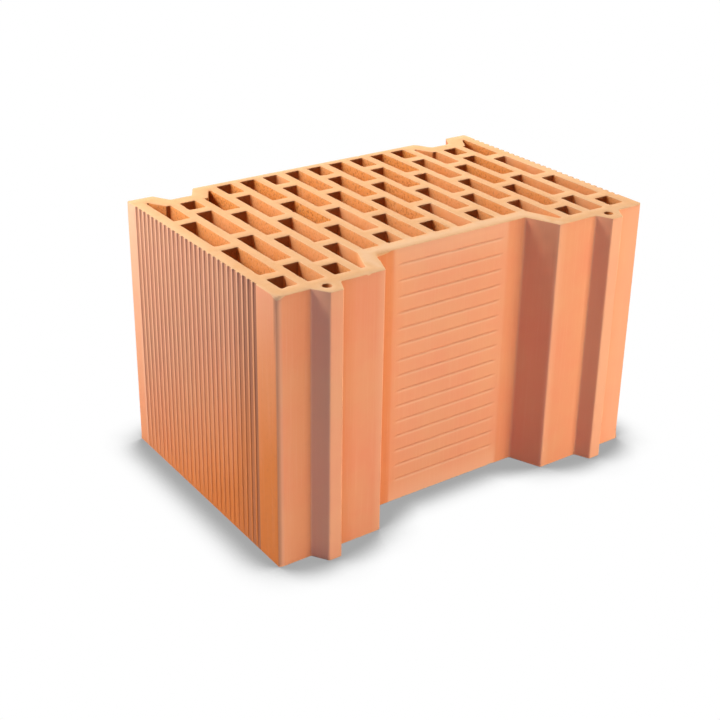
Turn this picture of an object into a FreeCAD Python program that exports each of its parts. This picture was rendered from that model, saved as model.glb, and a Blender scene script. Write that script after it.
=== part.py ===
"""Hollow clay wall block: one extruded, fired piece with slots, tongues, grooves and a mortar pocket.

The section lies in XY and is extruded along +Z. +X runs across the wall, between the two ribbed plaster
faces. -Y is the head face with the tongues and the mortar pocket, +Y the head face with the grooves. The
origin is at the centre of the bounding box, on the bottom bed face. All lengths are in millimetres.
"""

import FreeCAD, Part
import math
import os

# Block, between its plane faces
LENGTH = 380.0
WIDTH = 250.0
HEIGHT = 238.0

# Slots that run through the height, in staggered columns across the length
COLUMNS_PER_SIDE = 7
LONG_WEB = 8.9
CROSS_WEB = 10.3
SLOT_LENGTH = 59.5
SHORTEST_SLOT = 12.0
SLOT_CORNER = 1.5

# Shells left between the slots and the outside
SIDE_SHELL = 11.45
BACK_SHELL = 7.5
FRONT_SHELL = 13.0
POCKET_SHELL = 14.5
GROOVE_SHELL = 13.5
FLANK_SHELL = 15.4

# Mortar pocket in the front head face
POCKET_MOUTH = 182.0
POCKET_FLOOR = 157.0
POCKET_DEPTH = 30.0
POCKET_CORNER = 3.0

# Scored lines across the pocket's floor
SCORE_LENGTH = 112.0
SCORE_WIDTH = 2.0
SCORE_DEPTH = 0.8
SCORE_PITCH = 14.5
SCORE_TOP = 14.0
SCORE_BOTTOM = 20.0

# Tongues rooted on one column of slots at the front, with their tips and the back grooves slightly further in
KEY_COLUMN = 6
KEY_INWARD = 1.0
TONGUE_ROOT = 27.2
TONGUE_TIP = 12.0
TONGUE_REACH = 14.0
TONGUE_CORNER = 2.0
TONGUE_HOLE_RADIUS = 4.0
TONGUE_HOLE_OUT = 1.5
GROOVE_MOUTH = 40.0
GROOVE_FLOOR = 21.0
GROOVE_DEPTH = 16.5
GROOVE_CORNER = 3.0

# Vertical edges of the block and of the pocket's mouth
FRONT_CHAMFER = 3.0
BACK_EDGE = 3.0
MOUTH_EDGE = 2.0

# Plaster keys: shallow grooves in the two ribbed faces, between plain margins
RIB_PITCH = 7.65
RIB_GROOVE_MOUTH = 5.0
RIB_GROOVE_FLOOR = 3.8
RIB_DEPTH = 1.8
RIB_FRONT_MARGIN = 28.0
RIB_BACK_MARGIN = 15.0

# Stagger of the cross webs, as shares of their period: odd columns, even columns, the column behind a tongue
ODD_STAGGER = 0.0
EVEN_STAGGER = 0.5
KEY_STAGGER = 0.25

# Places worked out from the sizes above
COLUMNS = 2 * COLUMNS_PER_SIDE + 1
SLOT_WIDTH = (LENGTH - 2 * SIDE_SHELL - (COLUMNS - 1) * LONG_WEB) / COLUMNS
COLUMN_PITCH = SLOT_WIDTH + LONG_WEB
WEB_PERIOD = SLOT_LENGTH + CROSS_WEB
SIDE = LENGTH / 2
FRONT = (TONGUE_REACH - WIDTH) / 2
BACK = (TONGUE_REACH + WIDTH) / 2
POCKET_Y = FRONT + POCKET_DEPTH
GROOVE_Y = BACK - GROOVE_DEPTH
ROOT_X = KEY_COLUMN * COLUMN_PITCH
KEY_X = ROOT_X - KEY_INWARD


def vector(x, y):
    """A point of the section."""
    return FreeCAD.Vector(x, y, 0)


def rounded_wire(corners):
    """A closed wire through corners (x, y, radius), each rounded as far as its two edges allow."""
    points = [vector(x, y) for x, y, _ in corners]
    starts, ends, middles = [], [], []
    for index, (_, _, radius) in enumerate(corners):
        here = points[index]
        before = points[index - 1] - here
        after = points[(index + 1) % len(points)] - here
        half_angle = before.getAngle(after) / 2
        cut = min(radius / math.tan(half_angle), 0.45 * before.Length, 0.45 * after.Length)
        bisector = (before.normalize() + after.normalize()).normalize()
        centre_distance = cut / math.cos(half_angle)
        starts.append(here + before * cut)
        ends.append(here + after * cut)
        middles.append(here + bisector * (centre_distance - cut * math.tan(half_angle)))
    edges = []
    for index, (_, _, radius) in enumerate(corners):
        if radius > 0:
            edges.append(Part.Arc(starts[index], middles[index], ends[index]).toShape())
        following = starts[(index + 1) % len(corners)]
        edges.append(Part.LineSegment(ends[index], following).toShape())
    return Part.Wire(edges)


def mirrored(corners):
    """The same corners on the other side of the block, in the order that closes the outline."""
    return [(-x, y, radius) for x, y, radius in reversed(corners)]


def rib_corners():
    """Corners of the plaster-key grooves in the +X face, from front to back."""
    band = WIDTH - RIB_FRONT_MARGIN - RIB_BACK_MARGIN
    count = int(band / RIB_PITCH)
    first = FRONT + RIB_FRONT_MARGIN + (band - count * RIB_PITCH) / 2 + RIB_PITCH / 2
    corners = []
    for number in range(count):
        middle = first + number * RIB_PITCH
        corners += [
            (SIDE, middle - RIB_GROOVE_MOUTH / 2, 0),
            (SIDE - RIB_DEPTH, middle - RIB_GROOVE_FLOOR / 2, 0),
            (SIDE - RIB_DEPTH, middle + RIB_GROOVE_FLOOR / 2, 0),
            (SIDE, middle + RIB_GROOVE_MOUTH / 2, 0),
        ]
    return corners


def outline_wire():
    """The section's outside: pocket, tongues, ribbed faces and grooves, the same on both sides of X = 0."""
    half = [
        (POCKET_FLOOR / 2, POCKET_Y, POCKET_CORNER),
        (POCKET_MOUTH / 2, FRONT, MOUTH_EDGE),
        (ROOT_X - TONGUE_ROOT / 2, FRONT, TONGUE_CORNER),
        (KEY_X - TONGUE_TIP / 2, FRONT - TONGUE_REACH, TONGUE_CORNER),
        (KEY_X + TONGUE_TIP / 2, FRONT - TONGUE_REACH, TONGUE_CORNER),
        (ROOT_X + TONGUE_ROOT / 2, FRONT, TONGUE_CORNER),
        (SIDE - FRONT_CHAMFER, FRONT, 0),
        (SIDE, FRONT + FRONT_CHAMFER, 0),
        *rib_corners(),
        (SIDE, BACK, BACK_EDGE),
        (KEY_X + GROOVE_MOUTH / 2, BACK, GROOVE_CORNER),
        (KEY_X + GROOVE_FLOOR / 2, GROOVE_Y, GROOVE_CORNER),
        (KEY_X - GROOVE_FLOOR / 2, GROOVE_Y, GROOVE_CORNER),
        (KEY_X - GROOVE_MOUTH / 2, BACK, GROOVE_CORNER),
    ]
    return rounded_wire(half + mirrored(half))


def clipped(corners, start, end, shell):
    """The part of a convex outline that lies at least a shell to the left of the line from start to end."""
    along = (end - start).normalize()

    def depth(point):
        return along.x * (point.y - start.y) - along.y * (point.x - start.x) - shell

    kept = []
    for index, here in enumerate(corners):
        before = corners[index - 1]
        if depth(before) * depth(here) < 0:
            kept.append(before + (here - before) * (depth(before) / (depth(before) - depth(here))))
        if depth(here) >= 0:
            kept.append(here)
    return kept


def stagger(column):
    """How far a column's cross webs are shifted, as a share of their period."""
    if column == KEY_COLUMN:
        return KEY_STAGGER
    return ODD_STAGGER if column % 2 else EVEN_STAGGER


def slot_spans(column):
    """The (front, back) ends of a column's slots, between its cross webs."""
    back = BACK - BACK_SHELL
    web = back - SLOT_LENGTH - CROSS_WEB / 2 + stagger(column) * WEB_PERIOD
    if column == KEY_COLUMN:
        back = GROOVE_Y - GROOVE_SHELL
    inner_edge = column * COLUMN_PITCH - SLOT_WIDTH / 2
    behind_pocket = inner_edge < POCKET_FLOOR / 2
    front = POCKET_Y + POCKET_SHELL if behind_pocket else FRONT + FRONT_SHELL
    spans = []
    while back - front > SHORTEST_SLOT:
        spans.append((max(front, web + CROSS_WEB / 2), back))
        back = web - CROSS_WEB / 2
        web -= WEB_PERIOD
    return [span for span in spans if span[1] - span[0] > SHORTEST_SLOT]


def groove_shell():
    """The clay without slots round the +X groove, as a face of the section."""
    slant = (GROOVE_MOUTH - GROOVE_FLOOR) / 2 / GROOVE_DEPTH
    flat = GROOVE_Y - GROOVE_SHELL
    inner = GROOVE_FLOOR / 2 - slant * GROOVE_SHELL + FLANK_SHELL * math.hypot(1, slant)
    outer = inner + slant * (BACK - flat)
    half = [vector(ROOT_X + inner, flat), vector(ROOT_X + outer, BACK)]
    other_half = [vector(ROOT_X - outer, BACK), vector(ROOT_X - inner, flat)]
    return Part.Face(Part.makePolygon(half + other_half + half[:1]))


def slot_wires(column):
    """The wires of one column's slots on the +X side, cut back beside the groove and the pocket."""
    left = column * COLUMN_PITCH - SLOT_WIDTH / 2
    right = left + SLOT_WIDTH
    pocket_wall = (vector(POCKET_FLOOR / 2, POCKET_Y), vector(POCKET_MOUTH / 2, FRONT))
    wires = []
    for front, back in slot_spans(column):
        corners = [vector(left, front), vector(right, front), vector(right, back), vector(left, back)]
        if left > POCKET_FLOOR / 2:
            corners = clipped(corners, *pocket_wall, POCKET_SHELL)
        slot = Part.Face(Part.makePolygon(corners + corners[:1])).cut(groove_shell())
        for piece in slot.Faces:
            points = [vertex.Point for vertex in piece.OuterWire.OrderedVertexes]
            wires.append(rounded_wire([(point.x, point.y, SLOT_CORNER) for point in points]))
    return wires


def raised(wire):
    """A solid over the full height on a closed wire of the section."""
    return Part.Face(wire).extrude(FreeCAD.Vector(0, 0, HEIGHT))


def tongue_hole():
    """The round core hole in the +X tongue's root."""
    centre = vector(ROOT_X, FRONT - TONGUE_HOLE_OUT)
    return Part.makeCylinder(TONGUE_HOLE_RADIUS, HEIGHT, centre)


def scored_lines():
    """The V-shaped lines scored across the pocket's floor, from the top down."""
    count = int((HEIGHT - SCORE_TOP - SCORE_BOTTOM) / SCORE_PITCH) + 1
    start = -SCORE_LENGTH / 2
    lines = []
    for number in range(count):
        z = HEIGHT - SCORE_TOP - number * SCORE_PITCH
        upper = FreeCAD.Vector(start, POCKET_Y - SCORE_DEPTH, z + SCORE_WIDTH)
        lower = FreeCAD.Vector(start, POCKET_Y - SCORE_DEPTH, z - SCORE_WIDTH)
        bottom = FreeCAD.Vector(start, POCKET_Y + SCORE_DEPTH, z)
        profile = Part.makePolygon([upper, lower, bottom, upper])
        lines.append(Part.Face(profile).extrude(FreeCAD.Vector(SCORE_LENGTH, 0, 0)))
    return lines


def block():
    """The whole block: the outline's prism less the slots, the tongue holes and the scored lines."""
    one_side = [raised(wire) for column in range(1, COLUMNS_PER_SIDE + 1) for wire in slot_wires(column)]
    one_side.append(tongue_hole())
    other_side = [solid.mirror(FreeCAD.Vector(), FreeCAD.Vector(1, 0, 0)) for solid in one_side]
    middle = [raised(wire) for wire in slot_wires(0)]
    return raised(outline_wire()).cut(middle + one_side + other_side + scored_lines())


os.makedirs("parts", exist_ok=True)
solid = block()
solid.exportStep("parts/clay_block.step")
print("volume %.3f litres" % (solid.Volume / 1e6), "solids", len(solid.Solids), "valid", solid.isValid())
box = solid.BoundBox
print("box %.1f %.1f %.1f to %.1f %.1f %.1f" % (box.XMin, box.YMin, box.ZMin, box.XMax, box.YMax, box.ZMax))
print("slot width %.2f, column pitch %.2f" % (SLOT_WIDTH, COLUMN_PITCH))
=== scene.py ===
"""Dresses the hollow clay block with worn rims, torn slot walls, scored lines, the tones of its fire, and
painted light and shade.
"""

import logging
import math
from dataclasses import dataclass, field
from enum import IntEnum

import bpy
import numpy as np
from mathutils import Matrix, Vector, geometry, kdtree, noise


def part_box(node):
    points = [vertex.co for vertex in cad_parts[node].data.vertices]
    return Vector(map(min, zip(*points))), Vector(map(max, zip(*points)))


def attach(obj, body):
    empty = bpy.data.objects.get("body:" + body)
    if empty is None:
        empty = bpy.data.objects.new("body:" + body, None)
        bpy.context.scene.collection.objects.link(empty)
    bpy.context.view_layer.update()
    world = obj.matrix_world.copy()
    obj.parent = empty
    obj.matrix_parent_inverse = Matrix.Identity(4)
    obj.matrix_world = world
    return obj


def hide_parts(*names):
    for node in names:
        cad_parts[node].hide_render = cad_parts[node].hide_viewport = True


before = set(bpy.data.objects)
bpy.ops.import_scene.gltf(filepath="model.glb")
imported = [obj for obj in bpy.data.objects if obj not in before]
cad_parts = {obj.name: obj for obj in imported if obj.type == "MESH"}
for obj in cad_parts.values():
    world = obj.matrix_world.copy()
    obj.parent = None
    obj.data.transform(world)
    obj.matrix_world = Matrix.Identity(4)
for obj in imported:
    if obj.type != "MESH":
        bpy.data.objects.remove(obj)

MM = 0.001
IMAGE_PX = 720
NODE = "clay_block"
BODY = "root"
WHITE = "#ffffff"
SAME = 0.01 * MM

log = logging.getLogger("clay_block")


class Skin(IntEnum):
    """How a face of the block was made, which is also its material's place on the mesh."""

    EXTRUDED = 0
    WIRE_CUT = 1
    CORE_TORN = 2


def to_linear(code: str) -> tuple[float, float, float, float]:
    """Turns an sRGB hex colour, "#rrggbb", into linear red, green and blue with an alpha of 1."""
    channels = [int(code[place:place + 2], 16) / 255 for place in (1, 3, 5)]
    return (*(c / 12.92 if c <= 0.04045 else ((c + 0.055) / 1.055) ** 2.4 for c in channels), 1.0)


def part_way(value: float, start: float, full: float) -> float:
    """How far a value has come from start to full, from 0 to 1."""
    return min(max((value - start) / (full - start), 0.0), 1.0)


def add_node(
    tree: bpy.types.NodeTree, kind: str, settings: dict | None = None, links: dict | None = None
) -> bpy.types.Node:
    """Adds a shader node, sets it up and links its inputs.

    Args:
        tree: the material's or world's node tree.
        kind: Blender's name for the node type.
        settings: values for the node's properties, or for its inputs by name or number.
        links: output sockets for its inputs, by name or number.

    Returns:
        The new node.
    """
    node = tree.nodes.new(kind)
    for key, value in (settings or {}).items():
        if isinstance(key, str) and hasattr(node, key):
            setattr(node, key, value)
        else:
            node.inputs[key].default_value = value
    for key, socket in (links or {}).items():
        tree.links.new(socket, node.inputs[key])
    return node


@dataclass(frozen=True)
class Spots:
    """The noise behind one layer of a finish, whose colour comes in from level start to level full."""

    detail: float
    start: float
    full: float
    roughness: float = 0.58


GRAIN = Spots(detail=4.0, start=0.5, full=0.75)
PATCHES = Spots(detail=3.0, start=0.38, full=0.66)
SPECKS = Spots(detail=2.0, start=0.52, full=0.68)


@dataclass(frozen=True)
class FiredClay:
    """A finish of the block's fired clay: its tones, and the grain and specks that its making leaves.

    Fields:
        flush: the tone of soft patches about flush_mm across.
        deep: the tone of the most fired places and of some painted shade, which the mesh gives as "fired".
        pale: the tone of dust and rubbed edges and of painted light and highlights, which the mesh gives as
            its wear and painted light.
        dark: the tone of specks about speck_mm across, on up to speck_share of the most fired places.
        painted_shade: the tone of painted shade, which the mesh gives per point under the same name.
        grain_stretch: how much longer than grain_mm the grain is along X, Y and Z.
    """

    name: str
    body: str
    flush: str
    deep: str
    pale: str
    dark: str
    painted_shade: str
    flush_mm: float
    grain_mm: float
    grain_stretch: tuple[float, float, float]
    grain_relief_mm: float
    speck_mm: float
    speck_share: float
    speck_relief_mm: float
    pale_share: float
    roughness: float
    ior: float = 1.5
    specular: float = 0.25

    def material(self) -> bpy.types.Material:
        """Builds the material.

        Returns:
            A node material whose patterns are in the block's own coordinates.
        """
        material = bpy.data.materials.new(self.name)
        material.use_nodes = True
        tree = material.node_tree
        tree.nodes.clear()
        place = add_node(tree, "ShaderNodeTexCoord").outputs["Object"]
        stretch = tuple(1 / longer for longer in self.grain_stretch)
        drawn = add_node(tree, "ShaderNodeMapping", {"Scale": stretch}, {"Vector": place}).outputs["Vector"]
        levels, shares = [], []
        for spots, where, size_mm, most in (
            (GRAIN, drawn, self.grain_mm, self.pale_share),
            (PATCHES, place, self.flush_mm, 1.0),
            (SPECKS, place, self.speck_mm, self.speck_share),
        ):
            settings = {"Scale": 1 / (size_mm * MM), "Detail": spots.detail, "Roughness": spots.roughness}
            level = add_node(tree, "ShaderNodeTexNoise", settings, {"Vector": where}).outputs["Fac"]
            settings = {"From Min": spots.start, "From Max": spots.full, "To Max": most}
            share = add_node(tree, "ShaderNodeMapRange", settings, {"Value": level}).outputs["Result"]
            levels.append(level)
            shares.append(share)
        dusted, flushed, speckled = shares
        # Attributes: wear with painted light and highlights, fire with some painted shade, and painted shade
        fired, wear_and_light_share, shade_share = (
            add_node(tree, "ShaderNodeAttribute", {"attribute_name": name}).outputs["Fac"]
            for name in ("fired", "wear_and_painted_light", "painted_shade")
        )
        links = {0: speckled, 1: fired}
        speckled = add_node(tree, "ShaderNodeMath", {"operation": "MULTIPLY"}, links).outputs[0]
        below: dict[int, bpy.types.NodeSocket] = {}
        for share, tone in (
            (flushed, self.flush), (fired, self.deep), (dusted, self.pale),
            (speckled, self.dark), (wear_and_light_share, self.pale), (shade_share, self.painted_shade),
        ):
            settings = {"data_type": "RGBA", 6: to_linear(self.body), 7: to_linear(tone)}
            below = {6: add_node(tree, "ShaderNodeMix", settings, {0: share, **below}).outputs[2]}
        settings = {"Distance": self.grain_relief_mm * MM, "Strength": 1.0}
        rough = add_node(tree, "ShaderNodeBump", settings, {"Height": levels[0]}).outputs["Normal"]
        settings = {"Distance": self.speck_relief_mm * MM, "Strength": 1.0, "invert": True}
        links = {"Height": speckled, "Normal": rough}
        rough = add_node(tree, "ShaderNodeBump", settings, links).outputs["Normal"]
        shader = add_node(
            tree, "ShaderNodeBsdfPrincipled",
            {"Roughness": self.roughness, "IOR": self.ior, "Specular IOR Level": self.specular},
            {"Base Color": below[6], "Normal": rough},
        )
        add_node(tree, "ShaderNodeOutputMaterial", links={"Surface": shader.outputs["BSDF"]})
        return material


# Each finish's last tone is the tone of painted shade
# Extruded clay: the die's steel smooths it, so the eye sees a dense, even skin with faint upright drag lines
EXTRUDED_CLAY = FiredClay(
    name="extruded_fired_clay",
    body="#eb9c6c", flush="#ec9468", deep="#e07e38", pale="#f6be96", dark="#b9683f", painted_shade="#9c664c",
    flush_mm=60.0, grain_mm=1.6, grain_stretch=(1, 1, 40), grain_relief_mm=0.035,
    speck_mm=5.0, speck_share=0.12, speck_relief_mm=0.1, pale_share=0.12, roughness=0.82,
)

# Wire-cut clay: the wire drags grains across the bed face, so it is paler and sandy, with small torn pits
WIRE_CUT_CLAY = FiredClay(
    name="wire_cut_fired_clay",
    body="#eeb985", flush="#efb47c", deep="#e6a66c", pale="#f4c9a0", dark="#cf8a55", painted_shade="#a87850",
    flush_mm=55.0, grain_mm=1.3, grain_stretch=(5, 1, 1), grain_relief_mm=0.1,
    speck_mm=2.2, speck_share=0.5, speck_relief_mm=0.2, pale_share=0.25, roughness=0.92,
)

# Clay torn by the die's cores: the slot walls are open and crumbly, pink to deep orange, with dark specks
CORE_TORN_CLAY = FiredClay(
    name="core_torn_fired_clay",
    body="#f2af7a", flush="#efa668", deep="#ea9848", pale="#f5bd8c", dark="#9c5428", painted_shade="#8c5640",
    flush_mm=30.0, grain_mm=2.0, grain_stretch=(1, 1, 1.5), grain_relief_mm=0.25,
    speck_mm=2.2, speck_share=0.6, speck_relief_mm=0.4, pale_share=0.4, roughness=0.95,
)


@dataclass
class SectionLine:
    """One closed line of the block's section, with the clay on its left.

    Fields:
        seed: a number that tells its noise from the other lines'.
        fired: how deeply the fire coloured its wall, from 0 to 1.
        inward: the way into the clay at each point, longer at corners so that an offset keeps its width.
        run: distance along the line.
        edge: how near each point is to an outward edge of the clay, from 0 to 1.
        is_outline: whether this is the outside of the section, which runs anticlockwise.
    """

    points: np.ndarray
    seed: float
    fired: float
    longest_mitre: float = 1.5
    edge_reach: float = 1.8 * MM
    inward: np.ndarray = field(init=False)
    run: np.ndarray = field(init=False)
    edge: np.ndarray = field(init=False)
    is_outline: bool = field(init=False)

    def __post_init__(self) -> None:
        """Works out the inward directions, the distances along the line, its edges and which way it turns."""
        after = np.roll(self.points, -1, axis=0) - self.points
        lengths = np.linalg.norm(after, axis=1)
        self.run = np.concatenate([[0.0], np.cumsum(lengths)[:-1]])
        along = after / lengths[:, None]
        before = np.roll(along, 1, axis=0)
        left = np.stack([-along[:, 1], along[:, 0]], axis=1)
        both = left + np.roll(left, 1, axis=0)
        both /= np.linalg.norm(both, axis=1)[:, None]
        mitre = 1 / np.sum(both * left, axis=1).clip(1 / self.longest_mitre, 1)
        self.inward = both * mitre[:, None]
        x, y = self.points.T
        self.is_outline = float(np.sum(x * np.roll(y, -1) - np.roll(x, -1) * y)) > 0
        turn = np.arctan2(-np.sum(before * left, axis=1), np.sum(before * along, axis=1))
        outward = np.maximum(turn, 0) / (math.pi / 2)
        gaps = np.abs(self.run[:, None] - self.run[None, :])
        gaps = np.minimum(gaps, np.sum(lengths) - gaps)
        self.edge = ((1 - gaps / self.edge_reach).clip(0, 1) @ outward).clip(0, 1)


@dataclass
class ScoredLines:
    """Shallow level lines scored into the pocket's floor, on a panel that lies a little back, in metres."""

    count: int = 15
    top: float = 224 * MM
    pitch: float = 14.5 * MM
    half_length: float = 56 * MM
    half_width: float = 1.4 * MM
    depth: float = 0.9 * MM
    lip: float = 1.6 * MM
    fade: float = 5 * MM
    panel_half: float = 60 * MM
    panel_depth: float = 0.25 * MM

    def heights(self) -> list[float]:
        """The height of each line, from the top."""
        return [self.top - number * self.pitch for number in range(self.count)]

    def line_at(self, z: float) -> float | None:
        """The height of the line whose middle is at z, or None between the lines."""
        return next((height for height in self.heights() if abs(z - height) < SAME), None)

    def share(self, x: float) -> float:
        """How deep a line is at a place across the floor, from 0 to 1."""
        return part_way(abs(x), self.half_length, self.half_length - self.fade)

    def panel(self, x: float) -> float:
        """How far the panel lies back at a place across the floor."""
        return self.panel_depth if abs(x) < self.panel_half else 0.0


@dataclass(frozen=True)
class Chip:
    """A place where the top rim broke away, in metres."""

    x: float
    y: float
    reach: float
    depth: float

    def width(self, x: float, y: float) -> float:
        """How much wider it makes the worn rim at a place."""
        return self.depth * max(1 - math.hypot(x - self.x, y - self.y) / self.reach, 0.0) ** 0.5


@dataclass
class Layout:
    """Where the block's faces lie. The pocket and the ribs are read from the outline."""

    low: Vector
    high: Vector
    outline: SectionLine
    # The pocket and the front plane
    near_middle: float = 2.5 * MM
    pocket_depth: float = 30 * MM
    plane_slack: float = 2 * MM
    tongue_reach: float = 14 * MM
    # The ribbed faces: a groove's depth, the least margins and how far a crest reaches from a groove
    rib_least: float = 1 * MM
    rib_most: float = 2.5 * MM
    margin_front: float = 20 * MM
    margin_back: float = 5 * MM
    crest: float = 4 * MM
    # The way into the clay that tells a chamfer, and a slanted wall that looks left
    chamfer_slack: float = 0.05
    flank_way: tuple[float, float] = (0.5, 0.3)
    flat: float = 0.05 * MM
    pocket_y: float = field(init=False)
    mouth: float = field(init=False)
    rib_front: float = field(init=False)
    rib_back: float = field(init=False)

    def __post_init__(self) -> None:
        """Reads the pocket and the ribbed faces from the outline."""
        points = self.outline.points
        self.pocket_y = min(y for x, y in points if abs(x) < self.near_middle)
        self.mouth = min(abs(x) for x, y in points if self.at_front(y))
        first, last = self.low.y + self.margin_front, self.high.y - self.margin_back
        grooved = [
            y for x, y in points
            if self.rib_least < self.high.x - abs(x) < self.rib_most and first < y < last
        ]
        self.rib_front, self.rib_back = min(grooved), max(grooved)

    @property
    def plane_y(self) -> float:
        """The front plane that the tongues stand on."""
        return self.pocket_y - self.pocket_depth

    def at_front(self, y: float) -> bool:
        """Whether a place is on the front plane or on a tongue."""
        return y < self.plane_y + self.plane_slack

    def up(self, z: float) -> float:
        """How far up the block a height is, from 0 to 1."""
        return (z - self.low.z) / (self.high.z - self.low.z)

    def back(self, y: float) -> float:
        """How far from the front to the back a place is, from 0 to 1."""
        return (y - self.low.y) / (self.high.y - self.low.y)

    def on_pocket_floor(self, line: SectionLine, index: int) -> bool:
        """Whether a point lies on the pocket's floor."""
        return line.is_outline and abs(line.points[index][1] - self.pocket_y) < self.flat

    def on_ribs(self, y: float) -> bool:
        """Whether a place on a ribbed face is between its first and last groove."""
        return self.rib_front <= y <= self.rib_back

    def groove_depth(self, line: SectionLine, index: int) -> float | None:
        """How far a point lies behind the crests of a ribbed face, or None off those faces."""
        behind = self.high.x - abs(line.points[index][0])
        return behind if line.is_outline and behind < self.rib_most else None

    def before_ribs(self, line: SectionLine, index: int) -> bool:
        """Whether a point is on a ribbed face's chamfer or on its margin before the ribs."""
        return line.points[index][1] < self.rib_front and self.groove_depth(line, index) is not None

    def on_chamfer(self, line: SectionLine, index: int) -> bool:
        """Whether a point is in the middle of a chamfer, where the clay lies as much back as across."""
        across, back = line.inward[index]
        return abs(abs(across) - back) < self.chamfer_slack and self.before_ribs(line, index)

    def on_rib_edge(self, line: SectionLine, index: int) -> bool:
        """Finds the half of each rib's crest that is painted pale, as rubbing and a painted highlight.

        Args:
            line: a line of the section.
            index: the point on it.

        Returns:
            Whether the point is on a crest, next to a groove that follows it along the line.
        """
        if not self.rib_front - self.crest < line.points[index][1] <= self.rib_back + self.crest:
            return False
        here, *after = (self.groove_depth(line, (index + step) % len(line.points)) for step in range(3))
        return here is not None and max(depth or 0.0 for depth in after) > here + self.rib_least

    def on_flank(self, way: np.ndarray, y: float) -> bool:
        """Whether a place is on a slanted wall of a tongue or the pocket that looks left."""
        return self.low.y < y < self.pocket_y and bool(min(way - self.flank_way) > 0)


@dataclass
class ClayRelief:
    """How the surface departs from the true faces: worn rims, drag lines, torn walls and scored lines."""

    layout: Layout
    scored: ScoredLines
    # Rims, with nicks where the noise along them rises from nick_start to nick_full
    rim: float = 0.5 * MM
    rim_spread: float = 0.25 * MM
    rim_run: float = 6 * MM
    rim_most: float = 3.4 * MM
    nick: float = 1.6 * MM
    nick_run: float = 7 * MM
    nick_start: float = 0.42
    nick_full: float = 0.77
    rib_nicks: float = 0.25
    chips: tuple[Chip, ...] = (
        Chip(130.5 * MM, -68.5 * MM, 5 * MM, 2.4 * MM),
        Chip(19.8 * MM, -73.0 * MM, 4 * MM, 1.5 * MM),
        Chip(-20.0 * MM, -66.0 * MM, 4 * MM, 1.2 * MM),
        Chip(-166.0 * MM, -74.0 * MM, 4 * MM, 1.8 * MM),
        Chip(-188.5 * MM, -116.5 * MM, 5 * MM, 2.8 * MM),
        Chip(-78.5 * MM, -88.0 * MM, 14 * MM, 2.4 * MM),
    )
    # Extruded walls and torn slot walls, with the relief's sizes along the wall and up it
    drag_depth: float = 0.12 * MM
    drag_width: float = 3.2 * MM
    drag_length: float = 350 * MM
    smooth_drag: float = 0.3
    torn_depth: float = 0.21 * MM
    torn_least: float = 0.3
    torn_size: tuple[float, float] = (5 * MM, 7 * MM)
    swell_size: tuple[float, float] = (20 * MM, 40 * MM)
    # Clay in the left face's grooves, less of it within open_head of the top, and in all grooves at the foot
    groove_fill: float = 1.15 * MM
    head_fill: float = 0.6
    open_head: float = 10 * MM
    smear: float = 7 * MM
    # Scored lines, and the levels of the walls' points
    score_run: float = 18 * MM
    head_gaps_mm: tuple[int, ...] = (4, 7, 11, 16, 22, 30, 45, 75)
    foot_gaps_mm: tuple[int, ...] = (60, 10)
    wall_gap: float = 5 * MM

    def levels(self, line: SectionLine, index: int) -> list[float]:
        """The heights of a wall's points between its rims, at one place along it.

        Args:
            line: the wall's line.
            index: the place along it.

        Returns:
            Heights from the top down.
        """
        top, bottom = self.layout.high.z, self.layout.low.z
        if not line.is_outline:
            heights = [top - gap * MM for gap in self.head_gaps_mm]
            return heights + [bottom + gap * MM for gap in self.foot_gaps_mm]
        heights = [top - self.wall_gap, *self.scored.heights(), bottom + self.wall_gap]
        if self.layout.on_pocket_floor(line, index):
            half = self.scored.half_width
            sides = (half, -half, -half - self.scored.lip)
            heights += [height + side for height in self.scored.heights() for side in sides]
        return sorted(heights, reverse=True)

    def rim_width(self, line: SectionLine, index: int, up: bool) -> float:
        """How far a rim is worn at a point.

        Args:
            line: the rim's line.
            index: the point.
            up: whether it is the top rim.

        Returns:
            The worn edge's width, with a chip or a nick here and there.
        """
        run = line.run[index]
        uneven = noise.noise(Vector((run / self.rim_run, line.seed, float(up))))
        broken = noise.noise(Vector((run / self.nick_run, line.seed, 40.0 + up)))
        nick = self.nick * part_way(broken, self.nick_start, self.nick_full)
        if self.layout.groove_depth(line, index) is not None:
            nick *= self.rib_nicks
        chip = max(chip.width(*line.points[index]) for chip in self.chips) if up else 0.0
        return min(self.rim + self.rim_spread * uneven + max(nick, chip), self.rim_most)

    def depth(self, line: SectionLine, index: int, z: float) -> float:
        """How far a wall lies behind its true face.

        Args:
            line: the wall's line.
            index: the point on it.
            z: the height.

        Returns:
            A depth into the clay, which is negative where a groove is filled.
        """
        run, x = line.run[index], line.points[index][0]
        if not line.is_outline:
            fine, swell = (
                noise.noise(Vector((run / width, z / height, line.seed + shift)))
                for shift, (width, height) in ((0, self.torn_size), (3, self.swell_size))
            )
            return self.torn_depth * (fine * (self.torn_least + line.fired) + swell)
        drag = noise.noise(Vector((run / self.drag_width, z / self.drag_length, line.seed)))
        depth = self.drag_depth * (0.5 + 0.5 * drag)
        behind = self.layout.groove_depth(line, index)
        if behind is not None:
            return self.smooth_drag * depth - min(self.filled(x, z, behind), behind)
        if self.layout.on_pocket_floor(line, index):
            depth = self.smooth_drag * depth + self.scored.panel(x)
            height = self.scored.line_at(z)
            if height is not None:
                uneven = 0.8 + 0.3 * noise.noise(Vector((x / self.score_run, height / MM, 3.0)))
                depth += self.scored.depth * self.scored.share(x) * uneven
        return depth

    def filled(self, x: float, z: float, behind: float) -> float:
        """How much clay is smeared into a rib's groove.

        Args:
            x: the place across the block, which tells the left face from the right one.
            z: the height.
            behind: the groove's depth.

        Returns:
            The smear's thickness.
        """
        below_head = min((self.layout.high.z - z) / self.open_head, 1.0)
        open_share = self.head_fill + (1 - self.head_fill) * below_head
        fill = self.groove_fill * open_share if x < 0 else 0.0
        smeared = max(1 - (z - self.layout.low.z) / self.smear, 0.0)
        return fill + (behind - fill) * smeared


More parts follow.
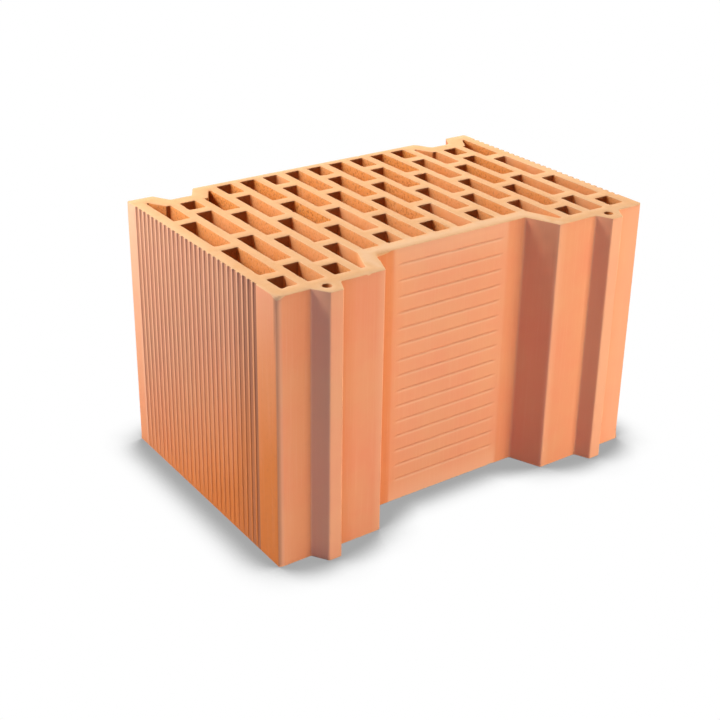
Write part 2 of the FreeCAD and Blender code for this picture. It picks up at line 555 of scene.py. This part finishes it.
@dataclass
class ClayTones:
    """How the fire and wear coloured the walls, and where light and shade are painted on them, as shares of a
    finish's tones.
    """

    layout: Layout
    scored: ScoredLines
    # Ribbed faces: paler to the top, paler to the back as painted light, crests painted pale as rubbing and a
    # painted highlight, grounds and the ribs' front in painted shade
    height_tone: float = 1.5
    depth_tone: float = 1.0
    rib_fire: float = 0.3
    margin_fire: float = 0.4
    crest_wear_and_highlight: float = 0.35
    rib_pale_slope: float = 0.4
    back_pale_slope: float = 0.75
    rib_ground_painted_shade: float = 0.8
    rib_ground_shade_cap: float = 0.75
    rib_ground_shade_most: float = 0.9
    rib_shade: float = 0.7
    rib_shade_run: float = 40 * MM
    # Front plane by the left tongue, with where its shade starts and is full on either side
    plane_shade: float = 0.25
    plane_flat: float = 0.5 * MM
    plane_outer: tuple[float, float] = (-188 * MM, -168 * MM)
    plane_inner: tuple[float, float] = (-118 * MM, -130 * MM)
    tongue_middle: float = -150 * MM
    # Edges paler as rubbing and a painted highlight, tongue tips paler, painted light towards the right front
    # corner, and a painted highlight along the pocket's mouth
    edge_highlight_and_wear: float = 0.5
    tip_wear: float = 0.22
    right_tip: float = 1.8
    tip_flat: float = 0.3 * MM
    right_corner_painted_light: float = 0.3
    corner_run: tuple[float, float] = (135 * MM, 175 * MM)
    mouth_painted_highlight: float = 0.35
    mouth_reach: float = 9 * MM
    # Slanted walls that look left, and the chamfers: painted light on them, and painted shade on the chamfers
    # and at the walls' heads, with the height of that shade at the heads
    left_wall_painted_light: float = 0.4
    right_flank: float = 0.6
    pocket_flank: float = 0.3
    left_wall_painted_shade: float = 0.45
    head_fade: float = 20 * MM
    tongue_head: float = 20 * MM
    pocket_head: float = 55 * MM
    # Pocket's floor: dust on its panel, paler at the panel's head, painted light at its foot, painted
    # highlights on the lines' lips, painted shade on the side strips and in the scored lines
    pocket_wear: float = 0.15
    lip_painted_highlight: float = 0.5
    head_reach: float = 30 * MM
    foot_reach: float = 22 * MM
    foot_painted_light: float = 0.4
    side_strip_painted_shade: float = 0.3
    strip_run: float = 9 * MM
    score_deep_painted_shade: float = 0.4
    score_dark_painted_shade: float = 0.22
    # Painted shade on the slots' short ends, told by their way into the clay
    slot_end_painted_shade: float = 0.65
    slot_end: tuple[float, float] = (0.6, 0.95)

    def pale_up_and_back(self, y: float, z: float) -> float:
        """How pale a ribbed face is at a place, below 0 at the front foot and above 0 at the back head; the
        paleness to the back is painted light.
        """
        return self.height_tone * (self.layout.up(z) - 0.5) + self.depth_tone * (self.layout.back(y) - 0.5)

    def rib_shadow(self, y: float) -> float:
        """How near a place is to the front of the ribs, from 0 to 1, and 0 on the margin before them."""
        front = self.layout.rib_front
        return part_way(y, front + self.rib_shade_run, front) if y >= front else 0.0

    def plane_shadow(self, x: float, y: float) -> float:
        """How near a place on the front plane is to the left tongue.

        Args:
            x: the place across the block.
            y: the place from front to back.

        Returns:
            From 0 to about 1 at the tongue, and 0 off the plane.
        """
        start, full = self.plane_outer if x < self.tongue_middle else self.plane_inner
        if abs(y - self.layout.plane_y) > self.plane_flat or x > self.plane_inner[0]:
            return 0.0
        return part_way(x, start, full) if x < self.tongue_middle else (x - start) / (full - start)

    def fire_and_painted_shade(self, line: SectionLine, index: int, z: float) -> float:
        """How deeply the fire coloured a place, with painted shade on the ribs by their front, on the front
        plane by the left tongue, on the pocket floor's side strips and in its scored lines.

        Args:
            line: the wall's line.
            index: the point on it.
            z: the height.

        Returns:
            A share of the clay's deep tone.
        """
        if not line.is_outline:
            return line.fired
        x, y = line.points[index]
        if self.layout.groove_depth(line, index) is not None:
            margin = self.margin_fire if self.layout.before_ribs(line, index) else 0.0
            own = self.rib_fire if self.layout.on_ribs(y) else margin
            return min(max(own - self.pale_up_and_back(y, z) + self.rib_shade * self.rib_shadow(y), 0.0), 1.0)
        if not self.layout.on_pocket_floor(line, index):
            return self.plane_shade * self.plane_shadow(x, y)
        strip = part_way(abs(x), self.scored.half_length, self.scored.half_length + self.strip_run)
        if strip:
            return strip * self.side_strip_painted_shade * (1 - 0.5 * x / self.scored.panel_half)
        return 0.0 if self.scored.line_at(z) is None else self.score_deep_painted_shade * self.scored.share(x)

    def wear_and_light_share(self, line: SectionLine, index: int, z: float) -> float:
        """How pale a wall is at a place: rubbing and dust, paler tongue tips, painted light on walls that
        look left, towards the right front corner and to the back of the ribs, and painted highlights on
        edges, crests, the pocket's mouth and the lines' lips.

        Args:
            line: the wall's line.
            index: the point on it.
            z: the height.

        Returns:
            A share of the clay's pale tone.
        """
        if not line.is_outline:
            return 0.0
        if self.layout.on_chamfer(line, index):
            return self.left_wall_painted_light
        x, y = line.points[index]
        if self.layout.groove_depth(line, index) is not None:
            if self.layout.on_rib_edge(line, index):
                return self.crest_wear_and_highlight + self.rib_pale_slope * self.pale_up_and_back(y, z)
            behind_ribs = y > self.layout.rib_back
            return self.pale_up_and_back(y, z) * (self.back_pale_slope if behind_ribs else self.rib_pale_slope)
        pale_shares = [self.edge_highlight_and_wear * line.edge[index]]
        if y < self.layout.low.y + self.tip_flat:
            pale_shares.append(self.tip_wear if x < 0 else self.right_tip * self.tip_wear)
        if self.layout.on_flank(line.inward[index], y):
            on_tongue = y < self.layout.low.y + self.layout.tongue_reach
            share = 1.0 if x < 0 else self.right_flank if on_tongue else self.pocket_flank
            pale_shares.append(self.left_wall_painted_light * share)
        if self.layout.at_front(y):
            pale_shares.append(self.right_corner_painted_light * part_way(x, *self.corner_run))
            pale_shares.append(self.mouth_painted_highlight * (1 - (abs(x) - self.layout.mouth) / self.mouth_reach))
        if self.layout.on_pocket_floor(line, index) and self.scored.panel(x):
            pale_shares.append(self.panel_dust_and_light(x, z))
        return max(pale_shares)

    def panel_dust_and_light(self, x: float, z: float) -> float:
        """How pale the panel of the pocket's floor is at a place, from dust and painted light.

        Args:
            x: the place across the block.
            z: the height.

        Returns:
            A share of the clay's pale tone: dust everywhere, more at the panel's head, painted light at its
            foot and a painted highlight on the lips of its lines.
        """
        head = (z - self.layout.high.z + self.head_reach) / (4 * self.head_reach)
        foot = self.foot_painted_light * (self.layout.low.z + self.foot_reach - z) / self.foot_reach
        on_lip = self.scored.line_at(z + self.scored.half_width) is not None
        return self.pocket_wear + max(head, foot, 0.0) + self.lip_painted_highlight * on_lip * self.scored.share(x)

    def painted_shade_at(self, line: SectionLine, index: int, z: float) -> float:
        """How much painted shade a place takes.

        Args:
            line: the wall's line.
            index: the point on it.
            z: the height.

        Returns:
            A share of the clay's tone of painted shade: on the slots' short ends, the chamfers, the ribs'
            grounds, the slanted walls' heads, the scored lines and the front plane by the left tongue.
        """
        way = line.inward[index] / np.linalg.norm(line.inward[index])
        if not line.is_outline:
            return self.slot_end_painted_shade * part_way(abs(way[1]), *self.slot_end)
        if self.layout.on_chamfer(line, index):
            return self.left_wall_painted_shade
        x, y = line.points[index]
        ribbed = self.layout.groove_depth(line, index) is not None and self.layout.on_ribs(y)
        if ribbed and not self.layout.on_rib_edge(line, index):
            tone = min(max(0.5 + self.pale_up_and_back(y, z), 0.0), self.rib_ground_shade_cap)
            return min(self.rib_ground_painted_shade * tone + self.rib_shade * self.rib_shadow(y), self.rib_ground_shade_most)
        if self.layout.on_flank(way, y):
            return self.left_wall_painted_shade * self.head_shadow(y, z)
        if self.layout.on_pocket_floor(line, index) and self.scored.line_at(z) is not None:
            return self.score_dark_painted_shade * self.scored.share(x)
        return 0.5 * self.plane_shade * self.plane_shadow(x, y)

    def head_shadow(self, y: float, z: float) -> float:
        """How much painted shade the head of a slanted wall takes, in a triangle that is highest at the
        wall's front edge.

        Args:
            y: the place from front to back.
            z: the height.

        Returns:
            From 0 to 1.
        """
        if y < self.layout.plane_y:
            drop = (self.layout.plane_y - y) / self.layout.tongue_reach * self.tongue_head
        else:
            drop = (self.layout.pocket_y - y) / self.layout.pocket_depth * self.pocket_head
        return min(max((z - self.layout.high.z + drop) / self.head_fade, 0.0), 1.0)


@dataclass
class ClayBlock:
    """The fired block: its section is the frame's own, and its surface gets relief, the fire's tones, and
    painted light and shade.
    """

    # Section lines, and how fired a slot is, with slot_fire_back for each metre to the back
    outline_step: float = 2.5 * MM
    slot_step: float = 4.5 * MM
    seed_step: float = 7.31
    slot_fire: float = 0.5
    slot_fire_back: float = 2.2
    slot_fire_spread: float = 0.8
    # Bed faces: a shaken grid of points clear of the rims, by shares of its step, and spots of dips and tone
    bed_step: float = 6 * MM
    bed_seed: int = 11
    bed_shake: float = 0.3
    bed_clear: float = 0.35
    bed_dip: float = 0.2 * MM
    dip_size: float = 12 * MM
    bed_fire: float = 0.3
    fire_size: float = 30 * MM
    bed_dust: float = 0.6
    by_pocket: float = 14 * MM
    rim_dust: float = 0.2
    # Mesh, with each vertex's wear with painted light, fire with some painted shade, and painted shade, as
    # shares
    crease: float = math.radians(34)
    layout: Layout = field(init=False)
    relief: ClayRelief = field(init=False)
    tones: ClayTones = field(init=False)
    vertices: list[tuple[float, float, float]] = field(default_factory=list, init=False)
    shares: list[tuple[float, float, float]] = field(default_factory=list, init=False)
    faces: list[tuple[int, ...]] = field(default_factory=list, init=False)
    skins: list[Skin] = field(default_factory=list, init=False)
    sharp: set[frozenset[int]] = field(default_factory=set, init=False)

    def build(self) -> bpy.types.Object:
        """Builds the piece and dresses it.

        Returns:
            The block, riding on its body and standing for its node.
        """
        low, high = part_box(NODE)
        lines = self.section_lines(high.z)
        self.layout = Layout(low, high, next(line for line in lines if line.is_outline))
        scored = ScoredLines()
        self.relief = ClayRelief(self.layout, scored)
        self.tones = ClayTones(self.layout, scored)
        top_rims: list[list[int]] = []
        bottom_rims: list[list[int]] = []
        for line in lines:
            top, bottom = self.add_rim(line, up=True), self.add_rim(line, up=False)
            self.add_wall(line, top[-1], bottom[-1])
            top_rims.append(top[0])
            bottom_rims.append(bottom[0])
        self.add_bed_face(top_rims, up=True)
        self.add_bed_face(bottom_rims, up=False)
        return self.dress()

    def section_lines(self, top: float) -> list[SectionLine]:
        """Reads the section from the node's top bed face.

        Args:
            top: the bed face's height.

        Returns:
            The outline and the lines of all slots and holes, resampled.
        """
        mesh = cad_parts[NODE].data
        steps: dict[tuple, set[tuple]] = {}
        for polygon in mesh.polygons:
            corners = [mesh.vertices[index].co for index in polygon.vertices]
            if min(corner.z for corner in corners) > top - SAME:
                keys = [(round(corner.x, 6), round(corner.y, 6)) for corner in corners]
                for start, end in zip(keys, keys[1:] + keys[:1]):
                    steps.setdefault(start, set()).add(end)
        following = {}
        for start, ends in steps.items():
            for end in ends:
                if start not in steps.get(end, ()):
                    following[start] = end
        loops = []
        while following:
            first, here = following.popitem()
            loop = [first]
            while here != first:
                loop.append(here)
                here = following.pop(here)
            loops.append(loop)
        loops.sort(key=min)
        return [self.resampled(np.array(loop), number) for number, loop in enumerate(loops)]

    def resampled(self, points: np.ndarray, number: int) -> SectionLine:
        """Divides the long edges of a line.

        Args:
            points: the line's corners.
            number: the line's place in the list, for its noise.

        Returns:
            The line with no edge longer than its step, fired more towards the back.
        """
        seed = number * self.seed_step
        fired = self.slot_fire + self.slot_fire_back * points[:, 1].mean()
        fired += self.slot_fire_spread * noise.noise(Vector((seed, 0.4, 2.7)))
        step = self.outline_step if SectionLine(points, seed, 0).is_outline else self.slot_step
        divided = []
        for start, end in zip(points, np.roll(points, -1, axis=0)):
            pieces = max(1, math.ceil(np.linalg.norm(end - start) / step))
            divided += [start + (end - start) * part / pieces for part in range(pieces)]
        return SectionLine(np.array(divided), seed, min(max(fired, 0.0), 1.0))

    def add_point(
        self, line: SectionLine, index: int, inset: float, z: float, wear_and_painted_light: float | None = None
    ) -> int:
        """Adds a point of a wall or a rim.

        Args:
            line: the wall's line.
            index: the place along it.
            inset: depth into the clay, which on the outline never reaches out past the ribs' crests.
            z: the height.
            wear_and_painted_light: how worn the point is, if it is on a rim.

        Returns:
            The point's number.
        """
        behind = self.layout.groove_depth(line, index)
        way = line.inward[index]
        if behind is not None:
            way = np.array((-math.copysign(1, line.points[index][0]), 0))
        depth = max(inset, -(behind or 0.0)) if line.is_outline else inset
        self.vertices.append((*(line.points[index] + way * depth), z))
        painted_shade = self.tones.painted_shade_at(line, index, z) if wear_and_painted_light is None else 0.0
        wear_and_painted_light = self.tones.wear_and_light_share(line, index, z) if wear_and_painted_light is None else wear_and_painted_light
        self.shares.append((wear_and_painted_light, self.tones.fire_and_painted_shade(line, index, z), painted_shade))
        return len(self.vertices) - 1

    def add_rim(self, line: SectionLine, up: bool) -> list[list[int]]:
        """Adds the worn rim where a wall meets a bed face.

        Args:
            line: the wall's line.
            up: whether it is the top rim.

        Returns:
            Its rings of points, the first in the bed face and the last on the wall.
        """
        end, way = (self.layout.high.z, -1) if up else (self.layout.low.z, 1)
        count = len(line.points)
        widths = [self.relief.rim_width(line, index, up) for index in range(count)]
        rings = []
        for turn in (0.0, math.pi / 4, math.pi / 2):
            ring = []
            for index, width in enumerate(widths):
                inset = width * (1 - math.sin(turn)) + self.relief.depth(line, index, end)
                z = end + way * width * (1 - math.cos(turn))
                wear_and_painted_light = None if turn == math.pi / 2 else self.rim_dust * math.cos(turn)
                ring.append(self.add_point(line, index, inset, z, wear_and_painted_light))
            rings.append(ring)
        for near, far in zip(rings, rings[1:]):
            upper, lower = (near, far) if up else (far, near)
            for index in range(count):
                after = (index + 1) % count
                self.faces.append((lower[index], lower[after], upper[after], upper[index]))
                self.skins.append(Skin.WIRE_CUT)
        return rings

    def add_wall(self, line: SectionLine, top: list[int], bottom: list[int]) -> None:
        """Adds a wall between its rims.

        Args:
            line: the wall's line.
            top: the top rim's points on the wall.
            bottom: the bottom rim's points on the wall.
        """
        skin = Skin.EXTRUDED if line.is_outline else Skin.CORE_TORN
        columns = []
        for index in range(len(line.points)):
            levels = self.relief.levels(line, index)
            column = [self.add_point(line, index, self.relief.depth(line, index, z), z) for z in levels]
            columns.append([top[index], *column, bottom[index]])
        for index, left in enumerate(columns):
            right = columns[(index + 1) % len(columns)]
            self.zip_columns(left, right, skin)
            if len(left) == len(right) and self.layout.on_pocket_floor(line, index):
                self.sharp.update(map(frozenset, zip(left[2:-2], right[2:-2])))

    def zip_columns(self, left: list[int], right: list[int], skin: Skin) -> None:
        """Fills the strip between two columns of points.

        Args:
            left: a column's points from the top down.
            right: the next column's points along the line.
            skin: how the wall was made.
        """
        a = b = 0
        while a < len(left) - 1 or b < len(right) - 1:
            next_left = self.vertices[left[a + 1]][2] if a < len(left) - 1 else -math.inf
            next_right = self.vertices[right[b + 1]][2] if b < len(right) - 1 else -math.inf
            if abs(next_left - next_right) < SAME:
                self.faces.append((left[a + 1], right[b + 1], right[b], left[a]))
                a, b = a + 1, b + 1
            elif next_left > next_right:
                self.faces.append((left[a + 1], right[b], left[a]))
                a += 1
            else:
                self.faces.append((right[b + 1], right[b], left[a]))
                b += 1
            self.skins.append(skin)

    def add_bed_face(self, rims: list[list[int]], up: bool) -> None:
        """Fills a bed face between its rims.

        Args:
            rims: the rings of points round the outline and round every slot and hole.
            up: whether it is the top face.
        """
        numbers = [index for rim in rims for index in rim]
        flat = [Vector(self.vertices[index][:2]) for index in numbers]
        edges, start = [], 0
        for rim in rims:
            edges += [(start + place, start + (place + 1) % len(rim)) for place in range(len(rim))]
            start += len(rim)
        z = self.layout.high.z if up else self.layout.low.z
        for place in self.bed_points(flat, edges):
            dip = self.bed_dip * (0.5 + 0.5 * noise.noise(Vector((*(place / self.dip_size), 5.0 + up))))
            warm = noise.noise(Vector((*(place / self.fire_size), 9.0 + up)))
            near_floor = place.y < self.layout.pocket_y + self.by_pocket
            dusty = near_floor and abs(place.x) < 0.5 * self.layout.high.x
            numbers.append(len(self.vertices))
            self.vertices.append((*place, z - dip if up else z + dip))
            fired = self.bed_fire * min(max(0.5 + warm, 0.0), 1.0)
            self.shares.append((self.bed_dust if dusty else 0.0, fired, 0.0))
            flat.append(place)
        result = geometry.delaunay_2d_cdt(flat, edges, [], 0, 1e-7)
        places, triangles, origins = result[0], result[2], result[3]
        if len(places) != len(flat):
            log.warning("bed face gained %d points", len(places) - len(flat))
        nowhere = Vector((0, 0))
        middles = [sum((places[corner] for corner in triangle), nowhere) / 3 for triangle in triangles]
        for triangle, keep in zip(triangles, self.inside(middles, flat, edges)):
            if keep:
                face = tuple(numbers[origins[corner][0]] for corner in triangle)
                self.faces.append(face if up else face[::-1])
                self.skins.append(Skin.WIRE_CUT)

    def bed_points(self, rim_points: list[Vector], edges: list[tuple[int, int]]) -> list[Vector]:
        """Scatters points over the bed face, clear of its rims.

        Args:
            rim_points: the rims' points.
            edges: pairs of point numbers along the rims.

        Returns:
            Places of an even, slightly shaken grid, where there is clay.
        """
        noise.seed_set(self.bed_seed)
        tree = kdtree.KDTree(len(rim_points))
        for index, point in enumerate(rim_points):
            tree.insert((*point, 0), index)
        tree.balance()
        low, size = self.layout.low, self.layout.high - self.layout.low
        places = []
        for row in range(int(size.y / self.bed_step)):
            for column in range(int(size.x / self.bed_step)):
                spot = low.xy + Vector((column + 0.5, row + 0.5)) * self.bed_step
                spot += self.bed_shake * self.bed_step * noise.noise_vector(Vector((column, row, 0.5))).xy
                if tree.find((*spot, 0))[2] > self.bed_clear * self.bed_step:
                    places.append(spot)
        in_clay = self.inside(places, rim_points, edges)
        return [place for place, keep in zip(places, in_clay) if keep]

    @staticmethod
    def inside(spots: list[Vector], points: list[Vector], edges: list[tuple[int, int]]) -> np.ndarray:
        """Finds which places lie in the clay of the section.

        Args:
            spots: places to test.
            points: the section's points.
            edges: pairs of point numbers along the section's lines.

        Returns:
            True for each place that an odd number of lines lies beside.
        """
        x, y = np.array(spots).T
        crossings = np.zeros(len(spots), int)
        for first, second in edges:
            (x0, y0), (x1, y1) = points[first], points[second]
            if y0 != y1:
                between = (y0 > y) != (y1 > y)
                crossings += between & (x < x0 + (y - y0) / (y1 - y0) * (x1 - x0))
        return crossings % 2 == 1

    def dress(self) -> bpy.types.Object:
        """Makes the mesh and gives each face its finish.

        Returns:
            The block's object.
        """
        mesh = bpy.data.meshes.new("fired_block")
        mesh.from_pydata(self.vertices, [], self.faces)
        for clay in (EXTRUDED_CLAY, WIRE_CUT_CLAY, CORE_TORN_CLAY):
            mesh.materials.append(clay.material())
        mesh.polygons.foreach_set("material_index", [int(skin) for skin in self.skins])
        mesh.polygons.foreach_set("use_smooth", [True] * len(mesh.polygons))
        for name, values in zip(("wear_and_painted_light", "fired", "painted_shade"), zip(*self.shares)):
            mesh.attributes.new(name, "FLOAT", "POINT").data.foreach_set("value", values)
        mesh.set_sharp_from_angle(angle=self.crease)
        for edge in mesh.edges:
            if frozenset(edge.vertices) in self.sharp:
                edge.use_edge_sharp = True
        mesh.update()
        block = bpy.data.objects.new("fired_block", mesh)
        bpy.context.scene.collection.objects.link(block)
        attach(block, BODY)
        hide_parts(NODE)
        return block


@dataclass(frozen=True)
class SoftBox:
    """A studio lamp round the block, in degrees and metres. Its level is how bright it makes a face."""

    name: str
    azimuth: float
    elevation: float
    distance: float
    width: float
    height: float
    level: float
    colour: str = WHITE

    def build(self, target: Vector) -> bpy.types.Object:
        """Makes the lamp.

        Args:
            target: the point that it looks at.

        Returns:
            The lamp's object.
        """
        lamp = bpy.data.lights.new(self.name, "AREA")
        lamp.shape = "RECTANGLE"
        lamp.size = self.width
        lamp.size_y = self.height
        lamp.energy = self.level * (math.pi * self.distance) ** 2
        lamp.color = to_linear(self.colour)[:3]
        holder = bpy.data.objects.new(self.name, lamp)
        back = direction(self.azimuth, self.elevation)
        holder.location = target + back * self.distance
        holder.rotation_euler = back.to_track_quat("Z", "Y").to_euler()
        bpy.context.scene.collection.objects.link(holder)
        return holder


def direction(azimuth: float, elevation: float) -> Vector:
    """The way from the block to a place, by degrees right of the front and above the floor."""
    a, e = math.radians(azimuth), math.radians(elevation)
    return Vector((math.sin(a) * math.cos(e), -math.cos(a) * math.cos(e), math.sin(e)))


@dataclass
class Studio:
    """A pale floor, a white surround and soft lamps.

    Fields:
        shadow_start: the share of open sky where the floor's shadow is deepest, at shadow_tone of its white.
        slot_sky: the share of open sky below which the floor is seen through a slot, with painted shade there
            down to slot_tone.
    """

    floor_side: float = 12.0
    floor_gap: float = 0.2 * MM
    floor_colour: str = "#d0d0d0"
    shadow_reach: float = 42 * MM
    shadow_start: float = 0.58
    shadow_tone: float = 0.38
    slot_sky: float = 0.2
    slot_tone: float = 0.12
    sky_level: float = 0.03
    lamps: tuple[SoftBox, ...] = (
        SoftBox("front_box", 26, 4, 1.5, 0.9, 0.3, 0.78, "#fff7e8"),
        SoftBox("left_window", -47, 4, 1.8, 0.7, 0.3, 0.2, "#7fa8ff"),
        SoftBox("left_box", -107, 38, 1.0, 0.25, 0.25, 0.38),
        SoftBox("back_left_box", -132, 30, 1.1, 0.7, 0.7, 0.58),
        SoftBox("back_right_box", 125, 45, 1.0, 0.8, 0.8, 1.0),
    )

    def build(self) -> None:
        """Makes the floor, the surround and the lamps."""
        low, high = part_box(NODE)
        for box in self.lamps:
            box.build((low + high) / 2)
        self.surround()
        self.floor(low.z)

    @staticmethod
    def seen(tree: bpy.types.NodeTree) -> bpy.types.NodeSocket:
        """Finds where a surface is seen by the camera, straight or by way of gloss or glass.

        Args:
            tree: the node tree of a material or a world.

        Returns:
            A socket that is 1 there and 0 for the light that falls on the block.
        """
        path = add_node(tree, "ShaderNodeLightPath").outputs
        either = path["Is Camera Ray"]
        for kind in ("Is Glossy Ray", "Is Transmission Ray"):
            links = {0: either, 1: path[kind]}
            either = add_node(tree, "ShaderNodeMath", {"operation": "MAXIMUM"}, links).outputs[0]
        return either

    def surround(self) -> None:
        """Lights the block evenly and shows white to the camera."""
        world = bpy.data.worlds.new("surround")
        world.use_nodes = True
        tree = world.node_tree
        tree.nodes.clear()
        settings = {"To Min": self.sky_level, "To Max": 1.0}
        level = add_node(tree, "ShaderNodeMapRange", settings, {"Value": self.seen(tree)}).outputs["Result"]
        sky = add_node(tree, "ShaderNodeBackground", {"Color": to_linear(WHITE)}, {"Strength": level})
        add_node(tree, "ShaderNodeOutputWorld", links={"Surface": sky.outputs["Background"]})
        bpy.context.scene.world = world

    def floor(self, level: float) -> None:
        """Makes the floor, white to the camera but for the block's soft shadow, and matt grey to the light.

        Args:
            level: the height that the block stands on.
        """
        half = self.floor_side / 2
        corners = [(-half, -half, 0), (half, -half, 0), (half, half, 0), (-half, half, 0)]
        mesh = bpy.data.meshes.new("studio_floor")
        mesh.from_pydata(corners, [], [(0, 1, 2, 3)])
        mesh.materials.append(self.paper())
        paper_floor = bpy.data.objects.new("studio_floor", mesh)
        paper_floor.location.z = level - self.floor_gap
        bpy.context.scene.collection.objects.link(paper_floor)

    def paper(self) -> bpy.types.Material:
        """Builds the floor's paper, which the eye sees as white with the block's contact shadow, painted as
        emission from its ambient occlusion rather than cast by the lamps.

        Returns:
            The material.
        """
        material = bpy.data.materials.new("matt_white_paper")
        material.use_nodes = True
        tree = material.node_tree
        tree.nodes.clear()
        settings = {"samples": 16, "Distance": self.shadow_reach}
        open_sky = add_node(tree, "ShaderNodeAmbientOcclusion", settings).outputs["AO"]
        shade = add_node(
            tree, "ShaderNodeMapRange",
            {"interpolation_type": "SMOOTHSTEP", "From Min": self.shadow_start, "To Min": self.shadow_tone},
            {"Value": open_sky},
        ).outputs["Result"]
        settings = {"From Max": self.slot_sky, "To Min": self.slot_tone}
        in_slots = add_node(tree, "ShaderNodeMapRange", settings, {"Value": open_sky}).outputs["Result"]
        links = {0: shade, 1: in_slots}
        shade = add_node(tree, "ShaderNodeMath", {"operation": "MULTIPLY"}, links).outputs[0]
        grey = add_node(tree, "ShaderNodeBsdfDiffuse", {"Color": to_linear(self.floor_colour)})
        white = add_node(tree, "ShaderNodeEmission", {"Color": to_linear(WHITE)}, {"Strength": shade})
        whole = add_node(
            tree, "ShaderNodeMixShader",
            links={0: self.seen(tree), 1: grey.outputs["BSDF"], 2: white.outputs["Emission"]},
        )
        add_node(tree, "ShaderNodeOutputMaterial", links={"Surface": whole.outputs["Shader"]})
        return material


@dataclass
class Viewpoint:
    """The camera that took the reference view, in degrees, metres and pixels, with its film in mm."""

    azimuth: float = -35.24
    elevation: float = 23.83
    roll: float = 0.89
    distance: float = 1184 * MM
    focal_px: float = 1289.7
    aim_right: float = -21.5 * MM
    aim_up: float = 22.8 * MM
    aim_back: float = 7.0 * MM
    centre_row: float = 300.0
    film: float = 36.0

    def build(self) -> bpy.types.Object:
        """Makes the camera.

        Returns:
            The camera, set as the scene's own.
        """
        low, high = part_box(NODE)
        back = direction(self.azimuth, self.elevation)
        level = Vector((math.cos(math.radians(self.azimuth)), math.sin(math.radians(self.azimuth)), 0))
        upright = back.cross(level)
        turn = math.radians(self.roll)
        right = level * math.cos(turn) + upright * math.sin(turn)
        up = upright * math.cos(turn) - level * math.sin(turn)
        centre = Vector((0, self.aim_back, (low.z + high.z) / 2))
        place = centre + right * self.aim_right + up * self.aim_up + back * self.distance
        data = bpy.data.cameras.new("reference_view")
        data.sensor_width = self.film
        data.lens = self.focal_px / IMAGE_PX * self.film
        data.shift_y = (self.centre_row - IMAGE_PX / 2) / IMAGE_PX
        camera = bpy.data.objects.new("reference_view", data)
        camera.matrix_world = Matrix.Translation(place) @ Matrix((right, up, back)).transposed().to_4x4()
        bpy.context.scene.collection.objects.link(camera)
        bpy.context.scene.camera = camera
        return camera


def main() -> None:
    """Builds the block, the studio and the camera, in that order."""
    logging.basicConfig(level=logging.INFO, format="%(name)s: %(message)s")
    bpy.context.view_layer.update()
    bpy.context.scene.view_settings.view_transform = "Standard"
    block = ClayBlock().build()
    triangles = sum(len(polygon.vertices) - 2 for polygon in block.data.polygons)
    log.info("%s: %d points, %d triangles", block.name, len(block.data.vertices), triangles)
    Studio().build()
    log.info("studio: floor, surround and lamps")
    camera = Viewpoint().build()
    log.info("%s: lens %.1f mm", camera.name, camera.data.lens)


if __name__ == "__main__":
    main()
